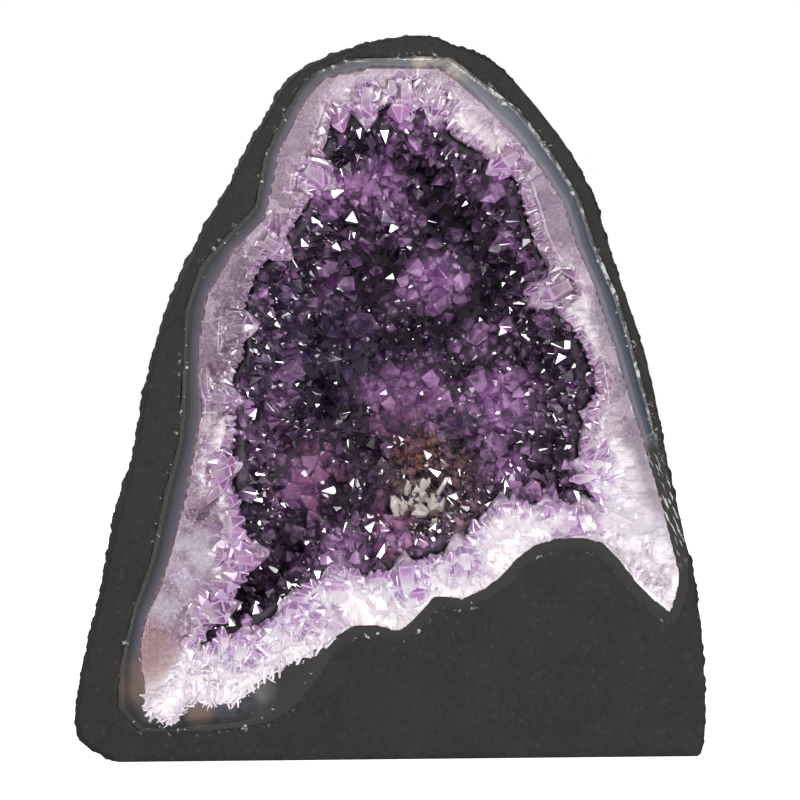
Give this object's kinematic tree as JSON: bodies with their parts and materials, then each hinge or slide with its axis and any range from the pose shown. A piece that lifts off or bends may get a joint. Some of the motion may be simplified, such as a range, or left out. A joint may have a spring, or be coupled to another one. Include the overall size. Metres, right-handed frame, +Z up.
{
  "type": "amethyst geode",
  "caption": "Upright cut geode: dark painted cement body with a sawn foot, agate and pale quartz rim round a deep hollow lined with purple crystal points.",
  "frame": {"origin": "middle of the sawn foot, on the surface it stands on, under the middle of the whole part", "axes": "+Z up, the sawn and polished face looks along -Y, +X to the right seen from the front"},
  "size_m": [0.2634, 0.165, 0.3],
  "materials": {
    "painted_cement": "matt dark paint on cement, smooth on the face and rough on the flanks and back",
    "banded_agate": "polished, fine slate-blue and grey bands",
    "pale_quartz": "polished milky quartz with columns that run towards the hollow",
    "lavender_quartz": "glassy crystal, pale at the root and purple at the tip",
    "dark_amethyst": "glassy deep purple crystal faces",
    "calcite": "dull cream crystal blades"
  },
  "bodies": {
    "root": {"cement_shell": "painted_cement", "agate_band": "banded_agate", "quartz_crust": "pale_quartz", "amethyst_druse": "dark_amethyst", "amethyst_crystal_01": "dark_amethyst", "amethyst_crystal_02": "dark_amethyst", "amethyst_crystal_03": "dark_amethyst", "amethyst_crystal_04": "dark_amethyst", "amethyst_crystal_05": "dark_amethyst", "amethyst_crystal_06": "dark_amethyst", "amethyst_crystal_07": "dark_amethyst", "amethyst_crystal_08": "dark_amethyst", "amethyst_crystal_09": "dark_amethyst", "amethyst_crystal_10": "dark_amethyst", "amethyst_crystal_11": "dark_amethyst", "amethyst_crystal_12": "dark_amethyst", "amethyst_crystal_13": "dark_amethyst", "amethyst_crystal_14": "dark_amethyst", "amethyst_crystal_15": "dark_amethyst", "amethyst_crystal_16": "dark_amethyst", "amethyst_crystal_17": "dark_amethyst", "amethyst_crystal_18": "dark_amethyst", "amethyst_crystal_19": "dark_amethyst", "amethyst_crystal_20": "dark_amethyst", "amethyst_crystal_21": "dark_amethyst", "amethyst_crystal_22": "dark_amethyst", "rim_crystal_01": "lavender_quartz", "rim_crystal_02": "lavender_quartz", "rim_crystal_03": "lavender_quartz", "rim_crystal_04": "lavender_quartz", "rim_crystal_05": "lavender_quartz", "rim_crystal_06": "lavender_quartz", "rim_crystal_07": "lavender_quartz", "rim_crystal_08": "lavender_quartz", "rim_crystal_09": "lavender_quartz", "rim_crystal_10": "lavender_quartz", "rim_crystal_11": "lavender_quartz", "rim_crystal_12": "lavender_quartz", "rim_crystal_13": "lavender_quartz", "rim_crystal_14": "lavender_quartz", "rim_crystal_15": "lavender_quartz", "rim_crystal_16": "lavender_quartz", "rim_crystal_17": "lavender_quartz", "rim_crystal_18": "lavender_quartz", "rim_crystal_19": "lavender_quartz", "rim_crystal_20": "lavender_quartz", "rim_crystal_21": "lavender_quartz", "rim_crystal_22": "lavender_quartz", "calcite_blade_1": "calcite", "calcite_blade_2": "calcite", "calcite_blade_3": "calcite"}
  },
  "joints": []
}
